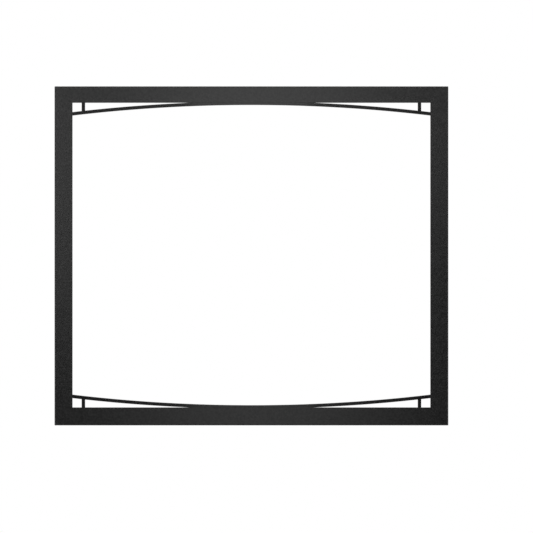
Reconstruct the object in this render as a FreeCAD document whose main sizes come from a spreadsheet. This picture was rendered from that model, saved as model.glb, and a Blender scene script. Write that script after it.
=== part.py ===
"""A hanging steel fireplace front with arched tracery bars.

Four folded steel members are mitred into a frame round a wide opening. A slim arched bar springs from
stile to stile below the top rail, and another above the bottom rail, each steadied by two short posts.
Gussets on welded studs hold the mitred corners, two hook hangers carry the front, and two pot magnets
near the bottom keep it against the fireplace.

Frame: +X to the viewer's right, +Y away from the viewer, +Z up, millimetres. The origin is at the middle
of the underside, halfway between the front face and the tips of the hooks. Every piece is drawn with the
front face at y = 0, and its placement then moves it to that frame.
"""

import FreeCAD
import Part
import Sketcher
import os
import re

# Driving dimensions, in millimetres (one angle, in degrees)
SIZES = {
    # the frame as it is seen from the front
    "overall_width": 914.4,
    "overall_height": 787.4,
    "stile_width": 42.0,
    "top_rail_height": 38.5,
    "bottom_rail_height": 42.0,
    # the folded sheet
    "sheet_thickness": 2.5,
    "return_depth": 25.0,
    "bend_inside_radius": 0.5,
    "edge_break": 0.4,
    # the arched bars, their posts and the tacks of weld behind them
    "bar_width": 7.94,
    "arch_rise": 24.5,
    "crown_overlap": 2.8,
    "post_width": 7.94,
    "post_gap": 21.28,
    "bead_width": 3.5,
    "bead_height": 0.9,
    "post_bead_length": 6.5,
    "crown_bead_length": 16.0,
    "crown_bead_pitch": 60.0,
    # the corner gussets
    "gusset_leg": 100.0,
    "gusset_thickness": 2.5,
    "gusset_inset": 2.0,
    "gusset_margin": 6.0,
    "gusset_corner_radius": 4.0,
    "gusset_stud_edge": 12.0,
    "gusset_stud_pitch": 36.0,
    # the thread that studs, nuts and screws share
    "thread_diameter": 5.0,
    "thread_clearance": 0.1,
    "tip_chamfer": 0.6,
    # the weld studs, with a flange nut on each
    "stud_length": 12.0,
    "stud_collar_overhang": 0.75,
    "stud_collar_height": 0.8,
    "collar_clearance": 0.2,
    "nut_wall": 1.5,
    "nut_height": 4.7,
    "nut_flange_overhang": 1.9,
    "nut_flange_height": 1.1,
    "nut_chamfer_angle": 30.0,
    "washer_lap": 2.5,
    "washer_clearance": 0.25,
    "washer_thickness": 1.0,
    # the room that hangers and brackets keep from a stile's return and from its inner edge
    "hardware_inset": 5.0,
    "hardware_margin": 6.0,
    # the adjustable hook hangers
    "hanger_gap": 45.0,
    "hanger_thickness": 3.0,
    "hanger_bend_radius": 1.5,
    "hanger_end_margin": 15.0,
    "hanger_slot_pitch": 50.0,
    "hanger_travel": 6.0,
    "rim_clearance": 1.0,
    "hook_end_margin": 5.0,
    "hook_neck": 10.0,
    "hook_drop": 12.0,
    "hook_notch": 5.0,
    "hook_lip": 4.0,
    "hook_lead_in": 1.5,
    "hook_corner_radius": 3.0,
    # the magnet catches
    "bracket_gap": 30.0,
    "bracket_thickness": 2.5,
    "bracket_bend_radius": 1.5,
    "bracket_corner_radius": 3.0,
    "bracket_stud_edge": 12.0,
    "bracket_stud_pitch": 18.0,
    "magnet_margin": 2.0,
    "magnet_diameter": 25.0,
    "magnet_height": 6.0,
    "cup_wall": 1.5,
    "cup_floor": 1.6,
    "glue_gap": 0.1,
    "screw_hole_clearance": 0.2,
    "screw_seat_clearance": 0.05,
    "screw_head_flare": 2.2,
    "screw_head_recess": 0.3,
    "screw_proud": 1.0,
    "screw_socket_width": 3.0,
    "screw_socket_depth": 1.8,
}

# Places and sizes that follow from the driving ones
PLACES = {
    "half_width": "overall_width / 2",
    "half_opening": "half_width - stile_width",
    "top_rail_edge": "overall_height - top_rail_height",
    "front_y": "-(return_depth + hook_notch + hook_lip) / 2",
    # the arches have one radius, and each bar is let into its rail at the crown
    "crown_drop": "bar_width - crown_overlap",
    "inner_radius": "(half_opening ^ 2 + arch_rise ^ 2) / (2 * arch_rise)",
    "outer_radius": "inner_radius + bar_width",
    "upper_centre": "top_rail_edge - crown_drop - inner_radius",
    "lower_centre": "bottom_rail_height + crown_drop + inner_radius",
    "post_outer": "half_opening - post_gap",
    "post_inner": "post_outer - post_width",
    "post_middle": "post_outer - post_width / 2",
    "bead_radius": "(bead_width ^ 2 / 4 + bead_height ^ 2) / (2 * bead_height)",
    # the gussets lie inside the returns
    "gusset_outer_x": "half_width - sheet_thickness - gusset_inset",
    "gusset_top": "overall_height - sheet_thickness - gusset_inset",
    "gusset_bottom": "sheet_thickness + gusset_inset",
    "gusset_back": "sheet_thickness + gusset_thickness",
    "gusset_on_stile": "stile_width - sheet_thickness - gusset_inset - gusset_margin",
    "gusset_on_top": "top_rail_height - sheet_thickness - gusset_inset - gusset_margin",
    "gusset_on_bottom": "bottom_rail_height - sheet_thickness - gusset_inset - gusset_margin",
    "far_stud": "gusset_leg - gusset_stud_edge",
    "near_stud": "far_stud - gusset_stud_pitch",
    # studs, and the holes and slots that go over their collars
    "thread_radius": "thread_diameter / 2",
    "collar_radius": "thread_radius + stud_collar_overhang",
    "stud_hole_radius": "collar_radius + collar_clearance",
    "nut_bore_radius": "thread_radius + thread_clearance",
    "nut_flat_radius": "thread_radius + nut_wall",
    "nut_flange_radius": "nut_flat_radius + nut_flange_overhang",
    "washer_radius": "stud_hole_radius + washer_lap",
    "washer_hole_radius": "thread_radius + washer_clearance",
    "hardware_outer_x": "half_width - sheet_thickness - hardware_inset",
    "hardware_inner_x": "half_opening + hardware_margin",
    # the hangers stand below the upper gussets
    "hanger_height": "hanger_slot_pitch + 2 * (stud_hole_radius + hanger_travel + hanger_end_margin)",
    "hanger_top": "gusset_top - gusset_leg - hanger_gap",
    "hanger_bottom": "hanger_top - hanger_height",
    "hanger_back": "sheet_thickness + hanger_thickness",
    "hanger_slot_x": "(hardware_outer_x - hanger_thickness + hardware_inner_x) / 2",
    "upper_slot": "hanger_top - hanger_height / 2 + hanger_slot_pitch / 2",
    "lower_slot": "hanger_top - hanger_height / 2 - hanger_slot_pitch / 2",
    "web_rear": "return_depth - rim_clearance",
    "notch_rear": "return_depth + hook_notch",
    "hook_tip": "return_depth + hook_notch + hook_lip",
    "upper_neck": "hanger_top - hook_end_margin - hook_neck",
    "lower_neck": "hanger_bottom + hook_end_margin + hook_drop",
    # the magnet brackets stand above the lower gussets
    "bracket_x": "(hardware_outer_x + hardware_inner_x) / 2",
    "bracket_bottom": "gusset_bottom + gusset_leg + bracket_gap",
    "bracket_step": "bracket_bottom + 2 * bracket_stud_edge + bracket_stud_pitch",
    "bracket_step_top": "bracket_step + bracket_thickness",
    "bracket_top": "bracket_step_top + magnet_diameter + 2 * magnet_margin",
    "bracket_back": "sheet_thickness + bracket_thickness",
    "low_stud": "bracket_bottom + bracket_stud_edge",
    "high_stud": "low_stud + bracket_stud_pitch",
    "magnet_z": "(bracket_step_top + bracket_top) / 2",
    "magnet_seat": "return_depth - magnet_height",
    "magnet_leg_front": "magnet_seat - bracket_thickness",
    "magnet_radius": "magnet_diameter / 2",
    "cup_inside": "magnet_radius - cup_wall",
    "ring_radius": "cup_inside - glue_gap",
    # the countersunk screws, measured from the magnet's seat
    "screw_hole_radius": "thread_radius + screw_hole_clearance",
    "screw_head_radius": "thread_radius + screw_head_flare",
    "screw_head_top": "magnet_height - screw_head_recess",
    "screw_tip": "-(bracket_thickness + nut_height + screw_proud)",
    "countersink_radius": "screw_head_radius + screw_seat_clearance + screw_head_recess",
    "countersink_foot": "magnet_height - (countersink_radius - screw_hole_radius)",
}

NEAR = 1e-4
LEFT, RIGHT = -1, 1
SIDES = {"left": LEFT, "right": RIGHT}
# which way each plane's normal points along the axis it is square to
NORMALS = {"XY_Plane": 1, "XZ_Plane": -1, "YZ_Plane": 1}
HEXAGON_TURNS = range(6)
FULL_TURN, HALF_TURN = 360, 180
# how a sketch numbers the points of a line or an arc, and its own origin
START, END, CENTRE = 1, 2, 3
ORIGIN = (-1, START)
# how many tacks of weld each arch's crown has
CROWN_BEAD_COUNT = 5
TOWARDS_REAR = FreeCAD.Rotation(FreeCAD.Vector(1, 0, 0), -90)
TOWARDS_FRONT = FreeCAD.Rotation(FreeCAD.Vector(1, 0, 0), 90)

doc = FreeCAD.newDocument("fireplace_front")
sheet = doc.addObject("Spreadsheet::Sheet", "sizes")
for row, (alias, size) in enumerate(SIZES.items(), start=1):
    sheet.set(f"A{row}", alias.replace("_", " "))
    sheet.set(f"B{row}", str(size))
    sheet.setAlias(f"B{row}", alias)
doc.recompute()


# Formulas

def formula(text):
    """The text with every named size or place written out as cells of the sheet."""

    def written_out(found):
        name = found.group()
        if name in SIZES:
            return f"sizes.{name}"
        if name in PLACES:
            return f"({formula(PLACES[name])})"
        return name

    return re.sub(r"[a-z][a-z_]*", written_out, text)


def value(text):
    """What a formula comes to, in millimetres."""
    return float(sheet.evalExpression(formula(text)))


def bind(thing, setting, text):
    """Ties one setting of an object to a formula."""
    thing.setExpression(setting, formula(text))


def signed(side, text):
    """A distance from the middle, to the left or to the right."""
    return f"{side} * ({text})"


# Sketches

def new_sketch(body, name, plane, at="0"):
    """An empty sketch on one of the body's own planes, moved along the axis square to that plane."""
    sketch = body.newObject("Sketcher::SketchObject", f"{body.Name}_{name}")
    support = next(feature for feature in body.Origin.OriginFeatures if feature.Role == plane)
    sketch.AttachmentSupport = (support, [""])
    sketch.MapMode = "FlatFace"
    bind(sketch, "AttachmentOffset.Base.z", f"{NORMALS[plane]} * ({at})")
    return sketch


def hold(sketch, kind, elements, text):
    """Adds a distance or a radius whose value is a formula."""
    index = sketch.addConstraint(Sketcher.Constraint(kind, *elements, value(text)))
    bind(sketch, f"Constraints[{index}]", text)


def hold_point(sketch, element, end, across, up=None):
    """Places a point by its distances from the sketch's origin, or by the one across alone."""
    hold(sketch, "DistanceX", (*ORIGIN, element, end), across)
    if up is not None:
        hold(sketch, "DistanceY", (*ORIGIN, element, end), up)


def add_outline(sketch, corners, arcs=None):
    """Draws a closed outline through the corners, each a pair of formulas.

    arcs gives the centre of every side that is an arc, by the number of the corner it starts from. The
    height of an arc's far end follows from its centre, so that corner is held by its distance across.
    """
    arcs = arcs or {}
    count = len(corners)
    points = [FreeCAD.Vector(value(across), value(up), 0) for across, up in corners]
    sides, starts, ends = [], [], []
    for n, start in enumerate(points):
        end = points[(n + 1) % count]
        if n in arcs:
            centre = FreeCAD.Vector(value(arcs[n][0]), value(arcs[n][1]), 0)
            outwards = ((start + end) / 2 - centre).normalize()
            line = Part.Arc(start, centre + outwards * (start - centre).Length, end)
        else:
            line = Part.LineSegment(start, end)
        side = sketch.addGeometry(line)
        forwards = sketch.getPoint(side, START).distanceToPoint(start) < NEAR
        sides.append(side)
        starts.append(START if forwards else END)
        ends.append(END if forwards else START)
    for n, (across, up) in enumerate(corners):
        before = (n - 1) % count
        sketch.addConstraint(
            Sketcher.Constraint("Coincident", sides[before], ends[before], sides[n], starts[n]))
        hold_point(sketch, sides[n], starts[n], across, None if before in arcs else up)
    for n, (across, up) in arcs.items():
        hold_point(sketch, sides[n], CENTRE, across, up)


def add_rectangle(sketch, left, right, low, high):
    """Draws a rectangle between four formulas."""
    add_outline(sketch, [(left, low), (right, low), (right, high), (left, high)])


def add_circle(sketch, across, up, radius):
    """Draws a circle whose centre and radius are formulas."""
    centre = FreeCAD.Vector(value(across), value(up), 0)
    circle = sketch.addGeometry(Part.Circle(centre, FreeCAD.Vector(0, 0, 1), value(radius)))
    hold_point(sketch, circle, CENTRE, across, up)
    hold(sketch, "Radius", (circle,), radius)


def add_hexagon(sketch, flat_radius):
    """Draws a hexagon round the sketch's origin by the distance from its middle to a flat."""
    corner = f"({flat_radius}) / cos(30 deg)"
    add_outline(sketch, [
        (f"{corner} * cos({turn} * 60 deg)", f"{corner} * sin({turn} * 60 deg)") for turn in HEXAGON_TURNS])


# Bodies and features

def new_body(label):
    """A body of the frame, whose own y = 0 is the front face."""
    body = doc.addObject("PartDesign::Body", label)
    bind(body, "Placement.Base.y", "front_y")
    return body


def pad(body, sketch, length, backwards=False, both_ways=False):
    """Thickens a sketch along its axis, against it, or evenly to both sides."""
    plane = sketch.AttachmentSupport[0][0].Role
    feature = body.newObject("PartDesign::Pad", f"{sketch.Name}_pad")
    feature.Profile = sketch
    feature.SideType = "Symmetric" if both_ways else "One side"
    feature.Reversed = (NORMALS[plane] < 0) != backwards
    bind(feature, "Length", length)
    doc.recompute()


def cut_through(body, sketch):
    """Cuts a sketch through the whole of its body."""
    feature = body.newObject("PartDesign::Pocket", f"{sketch.Name}_cut")
    feature.Profile = sketch
    feature.SideType = "Symmetric"
    feature.Type = "ThroughAll"
    doc.recompute()


def turn_round(body, sketch, kind="PartDesign::Revolution", angle=FULL_TURN, backwards=False):
    """Turns a sketch round its own upright axis, to add metal or, as a groove, to cut it."""
    feature = body.newObject(kind, f"{sketch.Name}_turn")
    feature.Profile = sketch
    feature.ReferenceAxis = (sketch, ["V_Axis"])
    feature.Angle = angle
    feature.Reversed = backwards
    doc.recompute()


def dress_edges(body, name, kind, setting, size, lines):
    """Rounds or chamfers each edge of the body whose ends both lie on one of the lines."""
    base = body.Tip
    chosen = []
    for n, edge in enumerate(base.Shape.Edges, start=1):
        ends = [corner.Point for corner in edge.Vertexes]
        if any(all(on_line(end) for end in ends) for on_line in lines):
            chosen.append(f"Edge{n}")
    feature = body.newObject(kind, f"{body.Name}_{name}")
    feature.Base = (base, chosen)
    bind(feature, setting, size)
    doc.recompute()


def round_edges(body, name, radius, *lines):
    """Rounds the edges along the lines."""
    dress_edges(body, name, "PartDesign::Fillet", "Radius", radius, lines)


def break_edges(body, *lines):
    """Takes the sharpness off the cut edges along the lines."""
    dress_edges(body, "edge_break", "PartDesign::Chamfer", "Size", "edge_break", lines)


def line_at(**places):
    """The points at two given coordinates, such as line_at(y="0", z="overall_height")."""
    wanted = {axis: value(text) for axis, text in places.items()}
    return lambda point: all(abs(getattr(point, axis) - at) < NEAR for axis, at in wanted.items())


def group(label, master, places, rotation):
    """One sub-part of equal copies of a master piece, each put at three formulas."""
    copies = []
    for n, (x, y, z) in enumerate(places, start=1):
        copy = doc.addObject("App::Link", f"{label}_{n}")
        copy.setLink(master)
        copy.Placement = FreeCAD.Placement(FreeCAD.Vector(), rotation)
        bind(copy, "Placement.Base.x", x)
        bind(copy, "Placement.Base.y", f"front_y + {y}")
        bind(copy, "Placement.Base.z", z)
        copies.append(copy)
    together = doc.addObject("Part::Compound", label)
    together.Links = copies
    return together


# The four folded members of the frame

def rail(label, outer_edge, inward, height):
    """A top or bottom rail: an angle section along X, mitred at both ends."""
    inside = f"{outer_edge} {inward} sheet_thickness"
    inner_edge = f"{outer_edge} {inward} {height}"
    body = new_body(label)
    section = new_sketch(body, "section", "YZ_Plane")
    add_outline(section, [
        ("0", outer_edge), ("return_depth", outer_edge), ("return_depth", inside),
        ("sheet_thickness", inside), ("sheet_thickness", inner_edge), ("0", inner_edge)])
    pad(body, section, "overall_width", both_ways=True)
    round_edges(body, "fold_outside", "bend_inside_radius + sheet_thickness", line_at(y="0", z=outer_edge))
    round_edges(body, "fold_inside", "bend_inside_radius", line_at(y="sheet_thickness", z=inside))
    mitres = new_sketch(body, "mitres", "XZ_Plane")
    for side in SIDES.values():
        end, opening = signed(side, "half_width"), signed(side, "half_opening")
        add_outline(mitres, [(end, outer_edge), (opening, inner_edge), (end, inner_edge)])
    cut_through(body, mitres)
    return body


def stile(label, side):
    """An upright of the frame: an angle section along Z, mitred at both ends."""
    outer = signed(side, "half_width")
    inside = signed(side, "half_width - sheet_thickness")
    inner = signed(side, "half_opening")
    body = new_body(label)
    section = new_sketch(body, "section", "XY_Plane")
    add_outline(section, [
        (outer, "0"), (outer, "return_depth"), (inside, "return_depth"),
        (inside, "sheet_thickness"), (inner, "sheet_thickness"), (inner, "0")])
    pad(body, section, "overall_height")
    round_edges(body, "fold_outside", "bend_inside_radius + sheet_thickness", line_at(x=outer, y="0"))
    round_edges(body, "fold_inside", "bend_inside_radius", line_at(x=inside, y="sheet_thickness"))
    break_edges(body, line_at(x=inner, y="0"))
    mitres = new_sketch(body, "mitres", "XZ_Plane")
    add_outline(mitres, [(outer, "overall_height"), (inner, "top_rail_edge"), (inner, "overall_height")])
    add_outline(mitres, [(outer, "0"), (inner, "bottom_rail_height"), (inner, "0")])
    cut_through(body, mitres)
    return body


# The arched bars, their posts and the welds behind them

# for each arch: the rail's edge, the ways towards and away from the rail, and the centre of the arcs
ARCHES = {
    "upper": ("top_rail_edge", "+", "upper_centre"),
    "lower": ("bottom_rail_height", "-", "lower_centre"),
}


def arch_height(level, radius, across):
    """The height of a point on one of an arch's two circles, by its distance from the middle."""
    _, outward, centre = ARCHES[level]
    return f"{centre} {outward} sqrt({radius} ^ 2 - ({across}) ^ 2)"


def arch_bar(level):
    """A band between two arcs, cut flat along its crown where it sits against the rail."""
    rail_edge, outward, centre = ARCHES[level]
    left, right = signed(LEFT, "half_opening"), signed(RIGHT, "half_opening")
    inner = arch_height(level, "inner_radius", "half_opening")
    outer = arch_height(level, "outer_radius", "half_opening")
    body = new_body(f"{level}_arch_bar")
    band = new_sketch(body, "band", "XZ_Plane")
    add_outline(band, [(right, inner), (left, inner), (left, outer), (right, outer)],
                arcs={0: ("0", centre), 2: ("0", centre)})
    pad(body, band, "sheet_thickness")
    seat = new_sketch(body, "seat", "XZ_Plane")
    add_rectangle(seat, left, right, rail_edge, f"{rail_edge} {outward} bar_width")
    cut_through(body, seat)
    break_edges(body, line_at(y="0", z=inner))
    return body


def post(level, word, side):
    """A short post from the rail to the back of the arch, its end cut to the arch's curve."""
    rail_edge, _, centre = ARCHES[level]
    outer, inner = signed(side, "post_outer"), signed(side, "post_inner")
    body = new_body(f"{level}_{word}_post")
    outline = new_sketch(body, "outline", "XZ_Plane")
    add_outline(outline, [
        (outer, arch_height(level, "outer_radius", "post_outer")),
        (inner, arch_height(level, "outer_radius", "post_inner")),
        (inner, rail_edge), (outer, rail_edge)], arcs={0: ("0", centre)})
    pad(body, outline, "sheet_thickness")
    break_edges(body, line_at(x=outer, y="0"), line_at(x=inner, y="0"))
    return body


def weld_bead(name, length):
    """What one tack of weld leaves on z = 0: a low round-backed run along X with domed ends."""
    half_width, centre = "bead_width / 2", "bead_height - bead_radius"
    body = doc.addObject("PartDesign::Body", name)
    back = new_sketch(body, "back", "YZ_Plane")
    add_outline(back, [(half_width, "0"), (signed(LEFT, half_width), "0")], arcs={0: ("0", centre)})
    pad(body, back, f"{length} - bead_width", both_ways=True)
    for word, side in SIDES.items():
        end = new_sketch(body, f"{word}_end", "YZ_Plane", at=signed(side, f"({length} - bead_width) / 2"))
        add_outline(end, [("0", "0"), (half_width, "0"), ("0", "bead_height")], arcs={1: ("0", centre)})
        turn_round(body, end, angle=HALF_TURN, backwards=side == RIGHT)
    return body


def post_welds():
    """The tacks behind both ends of every post."""
    places = []
    for level, (rail_edge, _, _) in ARCHES.items():
        for side in SIDES.values():
            for height in (rail_edge, arch_height(level, "outer_radius", "post_middle")):
                places.append((signed(side, "post_middle"), "sheet_thickness", height))
    return group("post_welds", weld_bead("post_bead", "post_bead_length"), places, TOWARDS_REAR)


def crown_welds():
    """The row of tacks that joins each arch's crown to its rail."""
    places = []
    for rail_edge, _, _ in ARCHES.values():
        for n in range(CROWN_BEAD_COUNT):
            from_middle = n - (CROWN_BEAD_COUNT - 1) / 2
            places.append((f"{from_middle} * crown_bead_pitch", "sheet_thickness", rail_edge))
    return group("crown_welds", weld_bead("crown_bead", "crown_bead_length"), places, TOWARDS_REAR)


# The corner gussets

# for each level: the edge the gusset is measured from, the way into the frame, and its width on the rail
GUSSETS = {
    "upper": ("gusset_top", "-", "gusset_on_top"),
    "lower": ("gusset_bottom", "+", "gusset_on_bottom"),
}


def gusset_point(level, side, inwards, along):
    """A place on a gusset, by its distances from the gusset's outer corner."""
    edge, inward, _ = GUSSETS[level]
    return signed(side, f"gusset_outer_x - ({inwards})"), f"{edge} {inward} ({along})"


def gusset_studs(level, side):
    """The places of the two studs on the rail and the two on the stile."""
    on_rail = GUSSETS[level][2]
    return [
        gusset_point(level, side, "far_stud", f"{on_rail} / 2"),
        gusset_point(level, side, "near_stud", f"{on_rail} / 2"),
        gusset_point(level, side, "gusset_on_stile / 2", "far_stud"),
        gusset_point(level, side, "gusset_on_stile / 2", "near_stud")]


def gusset(level, word, side):
    """A flat corner plate behind a mitre, with a leg on the rail and a leg on the stile."""
    on_rail = GUSSETS[level][2]
    corners = [gusset_point(level, side, inwards, along) for inwards, along in (
        ("0", "0"), ("gusset_leg", "0"), ("gusset_leg", on_rail),
        ("gusset_on_stile", on_rail), ("gusset_on_stile", "gusset_leg"), ("0", "gusset_leg"))]
    body = new_body(f"{level}_{word}_gusset")
    outline = new_sketch(body, "outline", "XZ_Plane", at="sheet_thickness")
    add_outline(outline, corners)
    pad(body, outline, "gusset_thickness")
    round_edges(body, "corners", "gusset_corner_radius", *(line_at(x=x, z=z) for x, z in corners))
    holes = new_sketch(body, "holes", "XZ_Plane")
    for x, z in gusset_studs(level, side):
        add_circle(holes, x, z, "stud_hole_radius")
    cut_through(body, holes)
    return body


# Studs, nuts and washers, each standing on z = 0

def stud_master():
    """A weld stud: a collar, a shank and a chamfered tip."""
    body = doc.addObject("PartDesign::Body", "stud")
    section = new_sketch(body, "section", "XZ_Plane")
    add_outline(section, [
        ("0", "0"), ("collar_radius", "0"), ("collar_radius", "stud_collar_height"),
        ("thread_radius", "stud_collar_height"), ("thread_radius", "stud_length - tip_chamfer"),
        ("thread_radius - tip_chamfer", "stud_length"), ("0", "stud_length")])
    turn_round(body, section)
    return body


def nut_master():
    """A hexagon nut on a round flange, with its top corners chamfered."""
    body = doc.addObject("PartDesign::Body", "nut")
    flange = new_sketch(body, "flange", "XY_Plane")
    add_circle(flange, "0", "0", "nut_flange_radius")
    pad(body, flange, "nut_flange_height")
    hexagon = new_sketch(body, "hexagon", "XY_Plane")
    add_hexagon(hexagon, "nut_flat_radius")
    pad(body, hexagon, "nut_height")
    chamfer = new_sketch(body, "chamfer", "XZ_Plane")
    add_outline(chamfer, [
        ("nut_flat_radius", "nut_height"),
        ("2 * nut_flat_radius", "nut_height - nut_flat_radius * tan(nut_chamfer_angle * 1 deg)"),
        ("2 * nut_flat_radius", "nut_height")])
    turn_round(body, chamfer, "PartDesign::Groove")
    bore = new_sketch(body, "bore", "XY_Plane")
    add_circle(bore, "0", "0", "nut_bore_radius")
    cut_through(body, bore)
    return body


def washer_master():
    """A plain washer that laps both sides of a hanger's slot."""
    body = doc.addObject("PartDesign::Body", "washer")
    outline = new_sketch(body, "outline", "XY_Plane")
    add_circle(outline, "0", "0", "washer_radius")
    add_circle(outline, "0", "0", "washer_hole_radius")
    pad(body, outline, "washer_thickness")
    return body


# The hook hangers

def hanger(word, side):
    """An angle bracket with two slots for its studs and two hooks that reach past the rim."""
    outer, inner = signed(side, "hardware_outer_x"), signed(side, "hardware_inner_x")
    web = signed(side, "hardware_outer_x - hanger_thickness")
    body = new_body(f"{word}_hanger")
    section = new_sketch(body, "section", "XY_Plane", at="hanger_bottom")
    add_outline(section, [
        (outer, "sheet_thickness"), (outer, "web_rear"), (web, "web_rear"),
        (web, "hanger_back"), (inner, "hanger_back"), (inner, "sheet_thickness")])
    pad(body, section, "hanger_height")
    round_edges(body, "bend_outside", "hanger_bend_radius + hanger_thickness",
                line_at(x=outer, y="sheet_thickness"))
    round_edges(body, "bend_inside", "hanger_bend_radius", line_at(x=web, y="hanger_back"))
    necks = ("upper_neck", "lower_neck")
    hooks = new_sketch(body, "hooks", "YZ_Plane", at=outer)
    for neck in necks:
        top, foot = f"{neck} + hook_neck", f"{neck} - hook_drop"
        add_outline(hooks, [
            ("web_rear", neck), ("notch_rear", neck), ("notch_rear", f"{foot} + hook_lead_in"),
            ("notch_rear + hook_lead_in", foot), ("hook_tip", foot), ("hook_tip", top), ("web_rear", top)])
    pad(body, hooks, "hanger_thickness", backwards=side == RIGHT)
    round_edges(body, "hook_corners", "hook_corner_radius",
                *(line_at(y="hook_tip", z=f"{neck} + hook_neck") for neck in necks))
    centre = signed(side, "hanger_slot_x")
    slots = new_sketch(body, "slots", "XZ_Plane")
    for slot in ("upper_slot", "lower_slot"):
        add_rectangle(slots, f"{centre} - stud_hole_radius", f"{centre} + stud_hole_radius",
                      f"{slot} - hanger_travel", f"{slot} + hanger_travel")
    cut_through(body, slots)
    for end, way in (("slot_tops", "+"), ("slot_feet", "-")):
        ends = new_sketch(body, end, "XZ_Plane")
        for slot in ("upper_slot", "lower_slot"):
            add_circle(ends, centre, f"{slot} {way} hanger_travel", "stud_hole_radius")
        cut_through(body, ends)
    return body


# The magnet catches

def magnet_bracket(word, side):
    """A stepped bracket: a leg with two stud holes, a step to the rear and a leg for the magnet."""
    outer, inner = signed(side, "hardware_outer_x"), signed(side, "hardware_inner_x")
    body = new_body(f"{word}_magnet_bracket")
    section = new_sketch(body, "section", "YZ_Plane", at=outer)
    add_outline(section, [
        ("sheet_thickness", "bracket_bottom"), ("bracket_back", "bracket_bottom"),
        ("bracket_back", "bracket_step"), ("magnet_seat", "bracket_step"),
        ("magnet_seat", "bracket_top"), ("magnet_leg_front", "bracket_top"),
        ("magnet_leg_front", "bracket_step_top"), ("sheet_thickness", "bracket_step_top")])
    pad(body, section, "hardware_outer_x - hardware_inner_x", backwards=side == RIGHT)
    round_edges(body, "bends_outside", "bracket_bend_radius + bracket_thickness",
                line_at(y="sheet_thickness", z="bracket_step_top"),
                line_at(y="magnet_seat", z="bracket_step"))
    round_edges(body, "bends_inside", "bracket_bend_radius",
                line_at(y="bracket_back", z="bracket_step"),
                line_at(y="magnet_leg_front", z="bracket_step_top"))
    round_edges(body, "corners", "bracket_corner_radius", *(
        line_at(x=x, z=z) for x in (outer, inner) for z in ("bracket_bottom", "bracket_top")))
    holes = new_sketch(body, "holes", "XZ_Plane")
    for stud in ("low_stud", "high_stud"):
        add_circle(holes, signed(side, "bracket_x"), stud, "stud_hole_radius")
    add_circle(holes, signed(side, "bracket_x"), "magnet_z", "screw_hole_radius")
    cut_through(body, holes)
    return body


def cup_master():
    """The steel cup of a pot magnet, with a hole in its floor for the screw."""
    body = doc.addObject("PartDesign::Body", "cup")
    section = new_sketch(body, "section", "XZ_Plane")
    add_outline(section, [
        ("screw_hole_radius", "0"), ("magnet_radius", "0"), ("magnet_radius", "magnet_height"),
        ("cup_inside", "magnet_height"), ("cup_inside", "cup_floor"), ("screw_hole_radius", "cup_floor")])
    turn_round(body, section)
    return body


def ring_master():
    """The ring magnet that fills the cup, countersunk for the screw's head."""
    body = doc.addObject("PartDesign::Body", "ring")
    section = new_sketch(body, "section", "XZ_Plane")
    add_outline(section, [
        ("screw_hole_radius", "cup_floor"), ("ring_radius", "cup_floor"), ("ring_radius", "magnet_height"),
        ("countersink_radius", "magnet_height"), ("screw_hole_radius", "countersink_foot")])
    turn_round(body, section)
    return body


def screw_master():
    """A countersunk screw with a hexagon socket, measured from the magnet's seat."""
    body = doc.addObject("PartDesign::Body", "screw")
    section = new_sketch(body, "section", "XZ_Plane")
    add_outline(section, [
        ("0", "screw_tip"), ("thread_radius - tip_chamfer", "screw_tip"),
        ("thread_radius", "screw_tip + tip_chamfer"), ("thread_radius", "screw_head_top - screw_head_flare"),
        ("screw_head_radius", "screw_head_top"), ("0", "screw_head_top")])
    turn_round(body, section)
    hexagon = new_sketch(body, "socket", "XY_Plane", at="screw_head_top")
    add_hexagon(hexagon, "screw_socket_width / 2")
    socket = body.newObject("PartDesign::Pocket", "screw_socket_cut")
    socket.Profile = hexagon
    bind(socket, "Length", "screw_socket_depth")
    doc.recompute()
    return body


# Every sub-part, from the frame inwards
pieces = [
    rail("top_rail", "overall_height", "-", "top_rail_height"),
    rail("bottom_rail", "0", "+", "bottom_rail_height"),
    stile("left_stile", LEFT),
    stile("right_stile", RIGHT)]
for level in ARCHES:
    pieces.append(arch_bar(level))
    for word, side in SIDES.items():
        pieces.append(post(level, word, side))
pieces += [post_welds(), crown_welds()]

stud, nut, washer = stud_master(), nut_master(), washer_master()
corner_places = []
for level in GUSSETS:
    for word, side in SIDES.items():
        pieces.append(gusset(level, word, side))
        corner_places += gusset_studs(level, side)
pieces += [
    group("corner_studs", stud, [(x, "sheet_thickness", z) for x, z in corner_places], TOWARDS_REAR),
    group("corner_nuts", nut, [(x, "gusset_back", z) for x, z in corner_places], TOWARDS_REAR)]

hanger_places = []
for word, side in SIDES.items():
    pieces.append(hanger(word, side))
    hanger_places += [(signed(side, "hanger_slot_x"), slot) for slot in ("upper_slot", "lower_slot")]
pieces += [
    group("hanger_studs", stud, [(x, "sheet_thickness", z) for x, z in hanger_places], TOWARDS_REAR),
    group("hanger_washers", washer, [(x, "hanger_back", z) for x, z in hanger_places], TOWARDS_REAR),
    group("hanger_nuts", nut, [(x, "hanger_back + washer_thickness", z) for x, z in hanger_places],
          TOWARDS_REAR)]

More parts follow.
